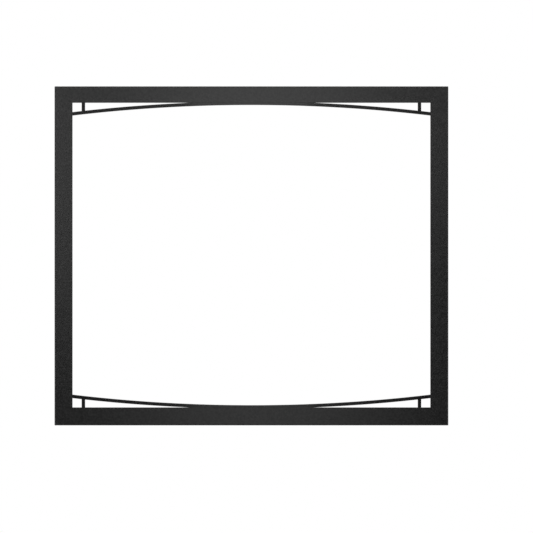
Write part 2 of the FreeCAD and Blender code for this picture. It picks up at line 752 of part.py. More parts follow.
cup, ring, screw = cup_master(), ring_master(), screw_master()
bracket_places, magnet_places = [], []
for word, side in SIDES.items():
    across = signed(side, "bracket_x")
    bracket_places += [(across, "low_stud"), (across, "high_stud")]
    magnet_places.append((across, "magnet_z"))
    seat = [(across, "magnet_seat", "magnet_z")]
    pieces += [
        magnet_bracket(word, side),
        group(f"{word}_magnet_cup", cup, seat, TOWARDS_REAR),
        group(f"{word}_magnet_ring", ring, seat, TOWARDS_REAR)]
pieces += [
    group("bracket_studs", stud, [(x, "sheet_thickness", z) for x, z in bracket_places], TOWARDS_REAR),
    group("bracket_nuts", nut, [(x, "bracket_back", z) for x, z in bracket_places], TOWARDS_REAR),
    group("magnet_screws", screw, [(x, "magnet_seat", z) for x, z in magnet_places], TOWARDS_REAR),
    group("magnet_nuts", nut, [(x, "magnet_leg_front", z) for x, z in magnet_places], TOWARDS_FRONT)]

# Nothing is written unless every object is sound
doc.recompute()
for thing in doc.Objects:
    if "Invalid" in thing.State or "Error" in thing.State:
        raise RuntimeError(f"{thing.Label} could not be made")
for piece in pieces:
    if piece.Shape.isNull() or not piece.Shape.isValid():
        raise RuntimeError(f"{piece.Label} has no sound shape")

os.makedirs("parts", exist_ok=True)
for piece in pieces:
    piece.Shape.exportStep(f"parts/{piece.Label}.step")
print(f"{len(pieces)} sub-parts written")
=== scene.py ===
# %% [markdown]
# # A fireplace front with arched tracery bars
# This front is a frame of folded sheet steel that hangs over a firebox. Slim arched bars run under the
# top rail and above the bottom rail, and gussets, hangers and magnets are bolted behind it. The
# measured parts come in first as a fixed frame: every piece of this lesson takes its size and place
# from them.

# %% Load the measured parts
import bmesh
import bpy
import math
from mathutils import Euler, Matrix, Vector


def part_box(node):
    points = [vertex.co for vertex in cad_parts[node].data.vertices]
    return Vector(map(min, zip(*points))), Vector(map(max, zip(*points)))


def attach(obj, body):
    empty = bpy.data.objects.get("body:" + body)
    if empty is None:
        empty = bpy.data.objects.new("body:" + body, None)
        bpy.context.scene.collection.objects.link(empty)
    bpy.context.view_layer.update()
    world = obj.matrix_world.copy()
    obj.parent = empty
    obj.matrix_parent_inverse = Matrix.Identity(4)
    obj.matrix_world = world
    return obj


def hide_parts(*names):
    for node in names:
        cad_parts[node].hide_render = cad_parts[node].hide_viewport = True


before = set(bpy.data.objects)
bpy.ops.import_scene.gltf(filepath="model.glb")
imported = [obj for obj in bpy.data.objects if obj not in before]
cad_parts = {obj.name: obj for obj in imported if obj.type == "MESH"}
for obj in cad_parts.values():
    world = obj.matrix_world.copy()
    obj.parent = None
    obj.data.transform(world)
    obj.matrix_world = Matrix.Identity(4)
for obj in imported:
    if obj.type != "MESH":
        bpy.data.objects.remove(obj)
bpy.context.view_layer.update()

MM = 0.001

# %% [markdown]
# ## Selecting as by hand
# The operators of edit mode work on what is selected. A modeller clicks on an edge; a script picks it
# by its place or its direction instead. These few helpers do that, so that each later cell reads like
# the steps at the screen: add a primitive, pick an edge, bevel it, cut it, apply a modifier.

# %% Helpers for edit mode
NEAR = 0.02 * MM
SAW_NEAR = 0.001 * MM
MOSTLY = 0.9


def near(a, b):
    """True where two lengths are the same, give or take a rounding error."""
    return abs(a - b) < NEAR


def object_mode():
    """Leaves edit mode, if it is on."""
    if bpy.context.mode == "EDIT_MESH":
        bpy.ops.object.mode_set(mode="OBJECT")


def start(add, name, scale=(1, 1, 1), **settings):
    """Adds a primitive with nothing else selected, and leaves it named, applied and in edit mode."""
    object_mode()
    bpy.ops.object.select_all(action="DESELECT")
    add(**settings)
    piece = bpy.context.object
    piece.name = piece.data.name = name
    piece.scale = scale
    bpy.ops.object.transform_apply(location=True, rotation=True, scale=True)
    bpy.ops.object.mode_set(mode="EDIT")
    return piece


def pick(kind, test):
    """Selects just the vertices, edges or faces that pass a test."""
    bpy.ops.mesh.select_mode(type=kind)
    bpy.ops.mesh.select_all(action="DESELECT")
    shape = bmesh.from_edit_mesh(bpy.context.edit_object.data)
    elements = {"VERT": shape.verts, "EDGE": shape.edges, "FACE": shape.faces}[kind]
    for element in elements:
        element.select_set(test(element))
    shape.select_flush_mode()
    bmesh.update_edit_mesh(bpy.context.edit_object.data)


def both_ends(test):
    """A test that an edge passes where both of its ends do."""
    return lambda edge: all(test(corner.co) for corner in edge.verts)


def running_along(axis):
    """A test that an edge passes where it runs mostly along an axis: 0, 1 or 2 for X, Y or Z."""
    return lambda edge: abs((edge.verts[1].co - edge.verts[0].co).normalized()[axis]) > MOSTLY


def saw(point, normal, keep_all=False):
    """Cuts along a plane, and unless all is kept takes away what lies beyond it and closes the cut."""
    bpy.ops.mesh.select_all(action="SELECT")
    bpy.ops.mesh.bisect(plane_co=point, plane_no=normal, threshold=SAW_NEAR,
                        use_fill=not keep_all, clear_outer=not keep_all)


def apply_modifier(piece, kind, **settings):
    """Adds one modifier to a piece and applies it."""
    bpy.context.view_layer.objects.active = piece
    modifier = piece.modifiers.new(kind.lower(), kind)
    for name, setting in settings.items():
        setattr(modifier, name, setting)
    bpy.ops.object.modifier_apply(modifier=modifier.name)


# %% [markdown]
# ## Shading
# Bevelled metal should shade as flat faces joined by soft edges. Smooth shading alone bends the light
# over the whole of a large flat face, so a Weighted Normal modifier then lets the largest faces set the
# normals. The last helper also makes each piece ride on its body, hides the measured parts it stands
# for and gives it their finish.

# %% Helper that finishes a piece
SMOOTH_ANGLE = math.radians(32)


def finish_piece(piece, body, slot, *nodes, finish=None):
    """Shades a piece, parents it to the body it moves with, gives it its coat and hides the parts it stands
    for.
    """
    object_mode()
    bpy.ops.object.select_all(action="DESELECT")
    piece.select_set(True)
    bpy.context.view_layer.objects.active = piece
    bpy.ops.object.shade_smooth_by_angle(angle=SMOOTH_ANGLE)
    apply_modifier(piece, "WEIGHTED_NORMAL", mode="FACE_AREA", keep_sharp=True)
    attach(piece, body)
    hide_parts(*nodes)
    piece.data.materials.clear()
    piece.data.materials.append(finishes[finish or slot])
    print(piece.name, "has", len(piece.data.polygons), "faces")


# %% [markdown]
# ## Shader maths as plain sums
# A procedural finish is mostly arithmetic on noise. One small class wraps an output socket, so that a
# finish can be written as `0.4 + 0.05 * grain` and each sign adds a Math node. Any other node comes
# from `node`, which takes its settings and then the values or links of its sockets.

# %% A socket that does sums
class Wire:
    """One output socket of a shader node."""

    def __init__(self, tree, socket):
        self.tree = tree
        self.socket = socket

    def node(self, kind, inputs=None, output=0, **settings):
        """Adds a node to the same tree, and returns one of its outputs."""
        made = self.tree.nodes.new(kind)
        for name, setting in settings.items():
            setattr(made, name, setting)
        for name, given in (inputs or {}).items():
            if isinstance(given, Wire):
                self.tree.links.new(given.socket, made.inputs[name])
            else:
                made.inputs[name].default_value = given
        return Wire(self.tree, made.outputs[output])

    def math(self, operation, first, second):
        return self.node("ShaderNodeMath", {0: first, 1: second}, operation=operation)

    def __add__(self, other):
        return self.math("ADD", self, other)

    def __radd__(self, other):
        return self.math("ADD", other, self)

    def __sub__(self, other):
        return self.math("SUBTRACT", self, other)

    def __rsub__(self, other):
        return self.math("SUBTRACT", other, self)

    def __mul__(self, other):
        return self.math("MULTIPLY", self, other)

    def __rmul__(self, other):
        return self.math("MULTIPLY", other, self)

    def clipped(self, low, high):
        """Spreads the values between low and high over 0 to 1."""
        return self.node("ShaderNodeMapRange", {"Value": self, "From Min": low, "From Max": high})

    def between(self, first, second):
        """The colour between two colours at this share."""
        return self.node("ShaderNodeMix", {"Factor": self, 6: first, 7: second}, output=2, data_type="RGBA")


def grey(value, blue=0.0):
    """A neutral colour, or one with a little blue in it."""
    return (value, value, value * (1 + blue), 1)


# %% [markdown]
# ## Starting a finish
# Every finish starts the same way: a Principled shader, and the piece's own Object coordinates, which
# are metres in the shared frame. `noise` asks for its grain as a size in metres, because a maker knows
# that a coat's texture is half a millimetre across, and not what a noise scale of 2000 looks like.

# %% Helpers for the finishes
finishes = {}


class Finish:
    """A material with a Principled shader, and the patterns that its sockets can be fed."""

    def __init__(self, name):
        self.material = bpy.data.materials.new(name)
        self.material.use_nodes = True
        tree = self.material.node_tree
        self.shader = tree.nodes["Principled BSDF"]
        self.here = Wire(tree, tree.nodes.new("ShaderNodeTexCoord").outputs["Object"])
        finishes[name] = self.material

    def noise(self, grain, detail=2.0, stretch=(1, 1, 1)):
        """Noise whose lumps are about grain metres across, drawn out along an axis by stretch."""
        squeeze = [1 / times for times in stretch]
        place = self.here.node("ShaderNodeMapping", {"Vector": self.here, "Scale": squeeze})
        return place.node("ShaderNodeTexNoise", {"Vector": place, "Scale": 1 / grain, "Detail": detail})

    def bump(self, height, depth, under=None):
        """A Bump whose height, from 0 to 1, is worth depth metres, over another Bump or none."""
        inputs = {"Height": height, "Strength": 1.0, "Distance": depth}
        if under:
            inputs["Normal"] = under
        return height.node("ShaderNodeBump", inputs)

    def feed(self, **sockets):
        """Sets or links the shader's sockets, each named with underscores, and counts the nodes."""
        for name, given in sockets.items():
            socket = self.shader.inputs[name.replace("_", " ").title()]
            if isinstance(given, Wire):
                given.tree.links.new(given.socket, socket)
            else:
                socket.default_value = given
        print(self.material.name, "has", len(self.material.node_tree.nodes), "nodes")


# %% [markdown]
# ## Black powder coat
# The frame is sprayed with dry black powder that melts into a tough satin skin. It never lies quite
# flat: the melted grains leave a fine pebble of half a millimetre and a slow orange peel of a few. Both
# go into the bump, and a little of the same noise goes into the colour and the roughness, so that
# highlights break up. The slim bars and posts take a thinner, duller coat than the wide faces, and look
# a shade darker for it.

# %% The powder coat
COAT_DARK, COAT_PALE = grey(0.0004), grey(0.0106)
PEBBLE, PEEL, CLOUD = 0.55 * MM, 4.5 * MM, 9 * MM
PEBBLE_DEPTH, PEEL_DEPTH = 0.016 * MM, 0.12 * MM
WIDE_GLOSS, SLIM_GLOSS = 0.5, 0.26


def powder_coat(name, gloss):
    """A pebbled black coat that reflects more with more gloss."""
    coat = Finish(name)
    coat.shader.inputs["Specular IOR Level"].default_value = gloss
    pebble = coat.noise(PEBBLE, detail=3.0)
    peel = coat.noise(PEEL)
    cloud = coat.noise(CLOUD, detail=3.0)
    mottle = 0.15 * pebble + 0.5 * peel + 0.35 * cloud
    coat.feed(
        base_color=mottle.clipped(0.4, 0.6).between(COAT_DARK, COAT_PALE),
        roughness=0.26 + 0.08 * mottle,
        normal=coat.bump(pebble, PEBBLE_DEPTH, under=coat.bump(peel, PEEL_DEPTH)))
    return coat


powder_coat("powder_coat", WIDE_GLOSS)
slim_coat = powder_coat("slim_coat", SLIM_GLOSS)

# %% [markdown]
# ## Folded rails and stiles
# Each side of the frame is a strip of sheet folded along its outer edge and mitred at its ends. By hand
# this is a thin block, a strip of its back face extruded into the return, a bevel round the fold and a
# saw cut at each mitre. The cut is set back a hair, so a fine dark line shows where two members meet.
# The sharp outer corner is ground round on the real frame, so a few more cuts, each turned further,
# take off its tip.

# %% Sizes of the sheet
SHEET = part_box("upper_arch_bar")[1].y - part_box("upper_arch_bar")[0].y
FOLD_INSIDE = 0.5 * MM
FOLD_OUTSIDE = FOLD_INSIDE + SHEET
EDGE_ROUND = 0.4 * MM
MITRE_GAP = 0.03 * MM
CORNER_ROUND = 2.4 * MM
CORNER_CUTS = [math.radians(turned) for turned in (7.5, 22.5, 37.5)]
FOLD_SEGMENTS, EDGE_SEGMENTS = 8, 3
FLAT = math.radians(0.1)
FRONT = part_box("top_rail")[0].y
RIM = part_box("top_rail")[1].y
print("sheet", round(SHEET / MM, 2), "mm, front face at y =", round(FRONT / MM, 2), "mm")

# %% Where the mitres run
outer_low = Vector((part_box("bottom_rail")[0].x, FRONT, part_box("bottom_rail")[0].z))
outer_high = Vector((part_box("top_rail")[1].x, FRONT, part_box("top_rail")[1].z))
inner_low = Vector((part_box("left_stile")[1].x, FRONT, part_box("bottom_rail")[1].z))
inner_high = Vector((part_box("right_stile")[0].x, FRONT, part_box("top_rail")[0].z))
MITRES = [(Vector((outer_x, FRONT, outer_z)), Vector((inner_x, FRONT, inner_z)))
          for outer_x, inner_x in ((outer_low.x, inner_low.x), (outer_high.x, inner_high.x))
          for outer_z, inner_z in ((outer_low.z, inner_low.z), (outer_high.z, inner_high.z))]
opening = inner_high - inner_low
print("opening", round(opening.x / MM, 1), "by", round(opening.z / MM, 1), "mm")


# %% One folded member
def folded_member(node, outward):
    """A rail or a stile; outward points from the opening to its return."""
    low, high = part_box(node)
    size, middle = high - low, (low + high) / 2
    edge = max(low.dot(outward), high.dot(outward))
    inner = min(low.dot(outward), high.dot(outward))
    back = FRONT + SHEET
    piece = start(bpy.ops.mesh.primitive_cube_add, f"folded_{node}", size=1,
                  location=(middle.x, FRONT + SHEET / 2, middle.z), scale=(size.x, SHEET, size.z))
    saw(outward * (edge - SHEET), outward, keep_all=True)
    pick("FACE", lambda face: (face.normal.y > MOSTLY
                               and face.calc_center_median().dot(outward) > edge - SHEET))
    bpy.ops.mesh.extrude_region_move(TRANSFORM_OT_translate={"value": (0, RIM - back, 0)})
    bpy.ops.mesh.select_all(action="SELECT")
    bpy.ops.mesh.dissolve_limited(angle_limit=FLAT)
    pick("EDGE", both_ends(lambda end: near(end.y, FRONT) and near(end.dot(outward), edge)))
    bpy.ops.mesh.bevel(offset=FOLD_OUTSIDE, segments=FOLD_SEGMENTS, affect="EDGES")
    pick("EDGE", both_ends(lambda end: near(end.y, back) and near(end.dot(outward), edge - SHEET)))
    bpy.ops.mesh.bevel(offset=FOLD_INSIDE, segments=EDGE_SEGMENTS, affect="EDGES")
    pick("EDGE", both_ends(lambda end: near(end.dot(outward), inner) or near(end.y, RIM)))
    bpy.ops.mesh.bevel(offset=EDGE_ROUND, segments=EDGE_SEGMENTS, affect="EDGES")
    for corner, opening_corner in MITRES:
        if near(corner.dot(outward), edge):
            away = (opening_corner - corner).cross(Vector((0, 1, 0))).normalized()
            away *= math.copysign(1, away.dot(corner - middle))
            saw(corner - away * MITRE_GAP / 2, away)
            along = (middle - corner).project(outward.cross((0, 1, 0))).normalized()
            ground = corner + (along - outward) * CORNER_ROUND
            for turned in CORNER_CUTS:
                radial = outward * math.cos(turned) - along * math.sin(turned)
                saw(ground + radial * CORNER_ROUND, radial)
    finish_piece(piece, "front_frame", "powder_coat", node)


for node, outward in {"top_rail": (0, 0, 1), "bottom_rail": (0, 0, -1),
                      "left_stile": (-1, 0, 0), "right_stile": (1, 0, 0)}.items():
    folded_member(node, Vector(outward))

# %% [markdown]
# ## Arched bars
# An arched bar is cut from the same sheet, as wide as the posts: a band between two arcs with one long
# radius. Spin makes such a band from its end section, turned about the arch's far centre. Spinning a
# little too far and sawing the ends off leaves them upright against the stiles, and one more cut seats
# the crown on its rail.

# %% Sizes of the arches
BAR_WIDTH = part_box("upper_left_post")[1].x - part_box("upper_left_post")[0].x
ARCH_RISE = 24.5 * MM
ARCH_STEPS = 120
OVERSWING = 1.01
half_opening = inner_high.x
inner_radius = (half_opening ** 2 + ARCH_RISE ** 2) / (2 * ARCH_RISE)
outer_radius = inner_radius + BAR_WIDTH
swing = math.asin(half_opening / inner_radius) * OVERSWING
print("bar", round(BAR_WIDTH / MM, 2), "mm wide, arch radius", round(inner_radius, 3), "m")

# %% [markdown]
# ## Coat on the crowns
# Where the crown of an arch is seated on its rail, the two are sprayed as one wide face, and the bar is
# as glossy as the rail. A second coat over the slim one gives that gloss back. Its weight fades out
# along X where the bar leaves the rail, half a seat's length from the middle.

# %% The second coat
SEAT_FADE = 20 * MM
SECOND_COAT, SECOND_ROUGHNESS = 0.47, 0.3
crown_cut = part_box("upper_arch_bar")[0].z + ARCH_RISE + BAR_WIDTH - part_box("upper_arch_bar")[1].z
half_seat = math.sqrt(outer_radius ** 2 - (outer_radius - crown_cut) ** 2)
sideways = slim_coat.here.node("ShaderNodeSeparateXYZ", {0: slim_coat.here})
off_middle = sideways.node("ShaderNodeMath", {0: sideways}, operation="ABSOLUTE")
leaving = off_middle.clipped(half_seat - SEAT_FADE, half_seat + SEAT_FADE)
slim_coat.feed(coat_weight=SECOND_COAT * (1 - leaving), coat_roughness=SECOND_ROUGHNESS)
print("each crown is seated over", round(2 * half_seat / MM, 1), "mm")


# %% One arched bar
def arched_bar(level, up):
    """The bar below the top rail (up is 1) or above the bottom rail (up is -1)."""
    low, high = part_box(f"{level}_arch_bar")
    springing, seat = (low.z, high.z) if up > 0 else (high.z, low.z)
    centre = Vector((0, FRONT + SHEET / 2, springing + up * (ARCH_RISE - inner_radius)))
    reach = Vector((0, 0, up * (inner_radius + BAR_WIDTH / 2)))
    reach.rotate(Euler((0, swing, 0)))
    piece = start(bpy.ops.mesh.primitive_plane_add, f"arched_{level}_bar", size=1, location=centre + reach,
                  rotation=(0, math.pi / 2 + swing, 0), scale=(BAR_WIDTH, SHEET, 1))
    bpy.ops.mesh.spin(steps=ARCH_STEPS, angle=2 * swing, center=centre, axis=(0, 1, 0))
    bpy.ops.mesh.select_all(action="SELECT")
    bpy.ops.mesh.remove_doubles(threshold=NEAR)
    bpy.ops.mesh.normals_make_consistent(inside=False)
    pick("EDGE", running_along(0))
    bpy.ops.mesh.bevel(offset=EDGE_ROUND, segments=EDGE_SEGMENTS, affect="EDGES")
    for side in (-1, 1):
        saw((side * half_opening, 0, 0), (side, 0, 0))
    saw((0, 0, seat), (0, 0, up))
    finish_piece(piece, "front_frame", "powder_coat", f"{level}_arch_bar", finish="slim_coat")
    return centre


arch_centres = {up: arched_bar(level, up) for level, up in (("upper", 1), ("lower", -1))}

# %% [markdown]
# ## Short posts
# Near each corner a short post ties the arch to its rail. It is a block of the same sheet whose end is
# sawn to the slope of the arch, square to the arch's radius, with its long edges eased like those of
# the bars.

# %% The four posts
for level, up in (("upper", 1), ("lower", -1)):
    for side in ("left", "right"):
        node = f"{level}_{side}_post"
        low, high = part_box(node)
        middle = (low + high) / 2
        piece = start(bpy.ops.mesh.primitive_cube_add, f"short_{node}", size=1,
                      location=middle, scale=high - low)
        pick("EDGE", running_along(2))
        bpy.ops.mesh.bevel(offset=EDGE_ROUND, segments=EDGE_SEGMENTS, affect="EDGES")
        centre = arch_centres[up]
        radial = (Vector((middle.x, centre.y, middle.z)) - centre).normalized()
        saw(centre + radial * outer_radius, -radial)
        finish_piece(piece, "front_frame", "powder_coat", node, finish="slim_coat")

# %% [markdown]
# ## Separate solids of one part
# Like fasteners share one measured part: sixteen corner nuts are one node. To put a modelled nut on
# each, the script has to know where each solid is. A merged copy of the node's mesh falls into islands,
# and the box of each island tells where its piece belongs.

# %% Helper that measures the solids of a part
def solids_of(node):
    """The lowest and highest corner of each separate solid of a part, in a steady order."""
    shape = bmesh.new()
    shape.from_mesh(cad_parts[node].data)
    bmesh.ops.remove_doubles(shape, verts=shape.verts, dist=SAW_NEAR)
    left = set(shape.verts)
    boxes = []
    while left:
        island, reached = set(), [left.pop()]
        while reached:
            corner = reached.pop()
            island.add(corner)
            beside = {edge.other_vert(corner) for edge in corner.link_edges} & left
            left -= beside
            reached += beside
        axes = list(zip(*(corner.co for corner in island)))
        boxes.append((Vector(map(min, axes)), Vector(map(max, axes))))
    shape.free()
    return sorted(boxes, key=lambda box: [round(value, 4) for corner in box for value in corner])


print("corner nuts:", len(solids_of("corner_nuts")), "crown welds:", len(solids_of("crown_welds")))

# %% [markdown]
# ## One master, many copies
# A fastener is modelled once, with its foot at the origin and its axis along +Y, the way it points on
# the back of the front. Each copy then gets a mesh of its own, is turned a little further than the one
# before, as nuts are in real life, and is moved to its place, which is applied to the mesh.

# %% Helper that places copies
TURN_PER_COPY = math.radians(37)
CUT_NEAR = 0.004 * MM


def place_copies(master, name, slot, node, to_front=False, turned=True):
    """Puts a copy of a master on every solid of a part, pointing to the rear or to the front."""
    object_mode()
    boxes = solids_of(node)
    for n, (low, high) in enumerate(boxes, start=1):
        bpy.ops.object.select_all(action="DESELECT")
        master.select_set(True)
        bpy.context.view_layer.objects.active = master
        bpy.ops.object.duplicate()
        copy = bpy.context.object
        copy.name = copy.data.name = f"{name}_{n}" if len(boxes) > 1 else name
        copy.rotation_euler = (math.pi if to_front else 0, n * TURN_PER_COPY if turned else 0, 0)
        copy.location = ((low.x + high.x) / 2, high.y if to_front else low.y, (low.z + high.z) / 2)
        bpy.ops.object.transform_apply(location=True, rotation=True, scale=True)
        finish_piece(copy, "front_frame", slot, node)


def combine(piece, operation, tool):
    """Joins, trims or cuts a piece with another one, which is used up, and merges what lies too close."""
    object_mode()
    apply_modifier(piece, "BOOLEAN", operation=operation, solver="EXACT", object=tool)
    bpy.data.objects.remove(tool)
    bpy.ops.object.mode_set(mode="EDIT")
    bpy.ops.mesh.select_all(action="SELECT")
    bpy.ops.mesh.remove_doubles(threshold=CUT_NEAR)
    object_mode()


# %% [markdown]
# ## Tacks of weld
# The posts and the crowns of the arches are tacked to their rails from behind. A bead of weld is a row
# of melted drops, each laid half over the last. So the master is one flattened sphere, repeated by an
# Array, melted into one skin by a voxel Remesh and sawn flat where it lies on the sheet. The coat
# covers it afterwards.

# %% The weld beads
DROP_PITCH = 1.15 * MM
DROP_LENGTH = 2.8 * MM
DROP_SEGMENTS, DROP_RINGS = 32, 24
BEAD_VOXEL = 0.17 * MM


def weld_bead(name, node):
    """A master bead as long, wide and high as the solids of its part."""
    low, high = solids_of(node)[0]
    length, height, width = high - low
    drops = round((length - DROP_LENGTH) / DROP_PITCH) + 1
    step = (length - DROP_LENGTH) / (drops - 1)
    bead = start(bpy.ops.mesh.primitive_uv_sphere_add, name, radius=0.5,
                 segments=DROP_SEGMENTS, ring_count=DROP_RINGS,
                 location=((DROP_LENGTH - length) / 2, 0, 0), scale=(DROP_LENGTH, 2 * height, width))
    object_mode()
    apply_modifier(bead, "ARRAY", count=drops, use_relative_offset=False, use_constant_offset=True,
                   constant_offset_displace=(step, 0, 0))
    apply_modifier(bead, "REMESH", mode="VOXEL", voxel_size=BEAD_VOXEL)
    bpy.ops.object.mode_set(mode="EDIT")
    saw((0, 0, 0), (0, -1, 0))
    return bead


for name, node in (("crown_weld", "crown_welds"), ("post_weld", "post_welds")):
    bead = weld_bead(f"{name}_master", node)
    place_copies(bead, name, "powder_coat", node, turned=False)
    bpy.data.objects.remove(bead)

# %% [markdown]
# ## Clear zinc plate
# Gussets, hangers, brackets, nuts, washers and screws are steel with a thin bright coat of zinc. The
# rolled sheet shows through as fine streaks, and the passivated zinc has a cloudy, faintly blue bloom.
# The streaks go into the bump and the roughness, and the bloom into the colour.

# %% The zinc plate
ZINC_BLUE, ZINC_PALE = (0.50, 0.52, 0.55, 1), (0.66, 0.66, 0.65, 1)
zinc = Finish("zinc_plate")
streak = zinc.noise(0.4 * MM, detail=3.0, stretch=(1, 1, 40))
bloom = zinc.noise(11 * MM, detail=4.0)
speck = zinc.noise(0.9 * MM)
patchy = 0.7 * bloom + 0.3 * speck
zinc.feed(
    base_color=patchy.clipped(0.3, 0.7).between(ZINC_BLUE, ZINC_PALE),
    metallic=1.0,
    roughness=0.24 + 0.12 * streak + 0.14 * bloom,
    normal=zinc.bump(streak, 0.006 * MM, under=zinc.bump(speck, 0.01 * MM)))

# %% [markdown]
# ## Copper flash
# Weld studs come with a thin copper skin that helps the welding current and keeps rust off. It is warm,
# a bit dull, and darker where hands and heat have tarnished it.

# %% The copper flash
COPPER_DULL, COPPER_BRIGHT = (0.42, 0.19, 0.11, 1), (0.68, 0.36, 0.23, 1)
copper = Finish("copper_flash")
tarnish = copper.noise(2.5 * MM, detail=4.0)
copper.feed(
    base_color=tarnish.clipped(0.35, 0.65).between(COPPER_DULL, COPPER_BRIGHT),
    metallic=1.0,
    roughness=0.26 + 0.22 * tarnish,
    normal=copper.bump(copper.noise(0.25 * MM), 0.008 * MM))

# %% [markdown]
# ## Nickel cup and ferrite ring
# A pot magnet is a nickel-plated steel cup round a pressed ring of ferrite. Both are finished on a
# lathe or a grinder, so both carry fine rings round the magnet's axis. The two magnets stand left and
# right of the middle, so the distance from the axis is measured after the left half of the frame is
# folded over to the right.

# %% Rings round the magnets
def rings(finish, pitch):
    """A wave, from 0 to 1, in rings about the axis of either magnet."""
    low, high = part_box("right_magnet_cup")
    axis = (low + high) / 2
    folded = finish.here.node("ShaderNodeVectorMath", {0: finish.here}, operation="ABSOLUTE")
    off_axis = folded.node("ShaderNodeVectorMath", {0: folded, 1: axis}, operation="SUBTRACT")
    flat = off_axis.node("ShaderNodeVectorMath", {0: off_axis, 1: (1, 0, 1)}, operation="MULTIPLY")
    radius = flat.node("ShaderNodeVectorMath", {0: flat}, output="Value", operation="LENGTH")
    phase = radius * (2 * math.pi / pitch)
    return 0.5 + 0.5 * phase.node("ShaderNodeMath", {0: phase}, operation="SINE")


# %% The nickel plate
NICKEL_DULL, NICKEL_BRIGHT = (0.60, 0.57, 0.52, 1), (0.72, 0.69, 0.64, 1)
nickel = Finish("nickel_plate")
lathe_mark = rings(nickel, 0.22 * MM)
smudge = nickel.noise(5 * MM, detail=3.0)
nickel.feed(
    base_color=smudge.clipped(0.3, 0.7).between(NICKEL_DULL, NICKEL_BRIGHT),
    metallic=1.0,
    roughness=0.10 + 0.06 * lathe_mark + 0.10 * smudge,
    normal=nickel.bump(lathe_mark, 0.003 * MM))

# %% The ferrite
FERRITE_DARK, FERRITE_PALE = grey(0.035), grey(0.075, blue=0.05)
ferrite = Finish("ferrite")
grind = rings(ferrite, 0.6 * MM)
grit = ferrite.noise(0.3 * MM, detail=3.0)
ground_grit = 0.8 * grit + 0.2 * grind
ferrite.feed(
    base_color=ground_grit.clipped(0.25, 0.75).between(FERRITE_DARK, FERRITE_PALE),
    roughness=0.5 + 0.2 * grit,
    normal=ferrite.bump(grit, 0.02 * MM, under=ferrite.bump(grind, 0.008 * MM)))
print("finishes:", ", ".join(finishes))

# %% [markdown]
# ## Plates with eased edges
# Gussets, hangers and magnet brackets are cut, punched and bent from sheet, and tumbled until no edge
# is sharp. Their measured solids already have the right outline, holes and bends. So each is copied,
# its loose triangles are merged and cleaned to whole faces, and a small Bevel eases every sharp edge,
# where it then catches the light.

# %% The plates
EASED = 0.3 * MM
EASED_ANGLE = math.radians(40)
EASED_SEGMENTS = 2


def eased_plate(node, body):
    """A copy of a measured plate with its edges eased."""
    bpy.ops.object.select_all(action="DESELECT")
    piece = bpy.data.objects.new(f"eased_{node}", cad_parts[node].data.copy())
    bpy.context.collection.objects.link(piece)
    bpy.context.view_layer.objects.active = piece
    bpy.ops.object.mode_set(mode="EDIT")
    bpy.ops.mesh.customdata_custom_splitnormals_clear()
    bpy.ops.mesh.select_all(action="SELECT")
    bpy.ops.mesh.remove_doubles(threshold=SAW_NEAR)
    bpy.ops.mesh.dissolve_limited(angle_limit=FLAT)
    object_mode()
    apply_modifier(piece, "BEVEL", width=EASED, segments=EASED_SEGMENTS,
                   limit_method="ANGLE", angle_limit=EASED_ANGLE)
    finish_piece(piece, body, "zinc_plate", node)


for side in ("left", "right"):
    for level in ("upper", "lower"):
        eased_plate(f"{level}_{side}_gusset", "front_frame")
    eased_plate(f"{side}_magnet_bracket", "front_frame")
    eased_plate(f"{side}_hanger", f"{side}_hanger")

# %% [markdown]
# ## Turned pieces
# Studs, nuts, washers, magnets and screws are round about one axis. A modeller draws half of the
# section, point by point with Extrude, and lets Spin sweep it round. Sections here are pairs of radius
# and height in millimetres, from the piece's foot, with the chamfers and rounded edges drawn in.

# %% Helpers that draw and turn a section
TURN_STEPS = 48


def draw(name, section):
    """A line from point to point of a section, in the plane of X and Y."""
    points = [Vector((radius, height, 0)) * MM for radius, height in section]
    piece = start(bpy.ops.mesh.primitive_plane_add, name, size=MM)
    bpy.ops.mesh.select_mode(type="VERT")
    bpy.ops.mesh.select_all(action="SELECT")
    bpy.ops.mesh.merge(type="CENTER")
    bpy.ops.transform.translate(value=points[0])
    for here, there in zip(points, points[1:]):
        bpy.ops.mesh.extrude_region_move(TRANSFORM_OT_translate={"value": there - here})
    return piece


def turn(name, section, steps=TURN_STEPS):
    """A solid of revolution about the Y axis."""
    piece = draw(name, section)
    bpy.ops.mesh.select_all(action="SELECT")
    bpy.ops.mesh.spin(steps=steps, angle=2 * math.pi, center=(0, 0, 0), axis=(0, 1, 0))
    bpy.ops.mesh.select_all(action="SELECT")
    bpy.ops.mesh.remove_doubles(threshold=SAW_NEAR)
    bpy.ops.mesh.normals_make_consistent(inside=False)
    return piece


# %% [markdown]
# ## A real thread
# A thread is one tooth swept along a helix. The tooth's open outline is drawn as long as the pitch, so
# that the Screw modifier joins each turn to the next, and the ends are sawn flat. The proportions are
# those of a common five-millimetre thread: a pitch of 0.8, flanks at sixty degrees, a narrow crest and
# a wider root.

# %% Helper that cuts a thread
THREAD_RADIUS, PITCH = 2.5, 0.8
THREAD_DEPTH, CREST = 0.6134 * PITCH, PITCH / 8
FLANK = THREAD_DEPTH * math.tan(math.radians(30))
THREAD_STEPS = 28
LEAD_TURNS, SPARE_TURNS = 1.5, 3


